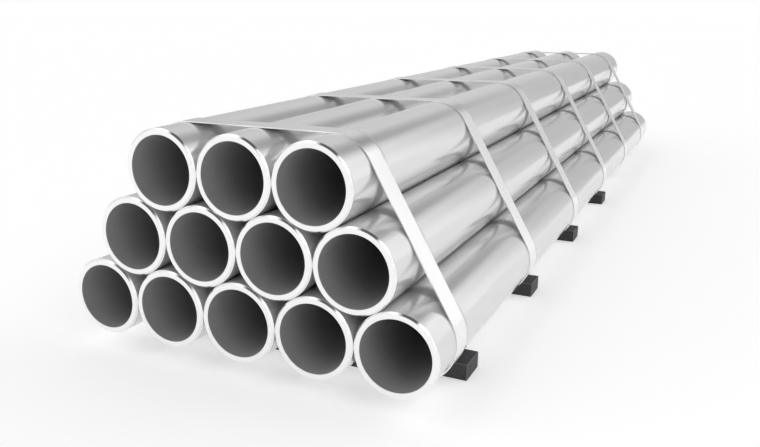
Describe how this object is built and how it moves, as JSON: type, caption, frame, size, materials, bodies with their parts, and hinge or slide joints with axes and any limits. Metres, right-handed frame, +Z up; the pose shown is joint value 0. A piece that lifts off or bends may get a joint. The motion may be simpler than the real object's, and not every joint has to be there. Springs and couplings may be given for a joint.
{
  "type": "strapped stack of steel tubes",
  "caption": "Thick-walled polished stainless steel tubes stacked in a flat-topped triangle, bound by flat steel straps and lying on dark bearers.",
  "frame": {"origin": "on the floor, under the middle of the stack: the bottom centre of the whole object's box", "axes": "+X across the rows to the right seen from the front, +Y along the tubes from the front ends to the far ends, +Z up"},
  "size_m": [1.1032, 4, 0.6487],
  "materials": {
    "stainless_steel": "stainless steel, pickled and polished to a soft mirror, faint lines along the tube, bright machined end faces",
    "strap_steel": "flat bright cold-rolled steel strip, smooth and a little softer than the tubes' polish, edges dressed round",
    "bearer_plastic": "recycled plastic plank, charcoal, matt and slightly mottled, paler along its worn edges"
  },
  "bodies": {
    "root": {"tube_bottom_1": "stainless_steel", "tube_bottom_2": "stainless_steel", "tube_bottom_3": "stainless_steel", "tube_bottom_4": "stainless_steel", "tube_bottom_5": "stainless_steel", "tube_middle_1": "stainless_steel", "tube_middle_2": "stainless_steel", "tube_middle_3": "stainless_steel", "tube_middle_4": "stainless_steel", "tube_top_1": "stainless_steel", "tube_top_2": "stainless_steel", "tube_top_3": "stainless_steel", "strap_1": "strap_steel", "strap_2": "strap_steel", "strap_3": "strap_steel", "strap_4": "strap_steel", "strap_5": "strap_steel", "strap_6": "strap_steel", "bearer_1": "bearer_plastic", "bearer_2": "bearer_plastic", "bearer_3": "bearer_plastic", "bearer_4": "bearer_plastic", "bearer_5": "bearer_plastic", "bearer_6": "bearer_plastic"}
  },
  "joints": []
}
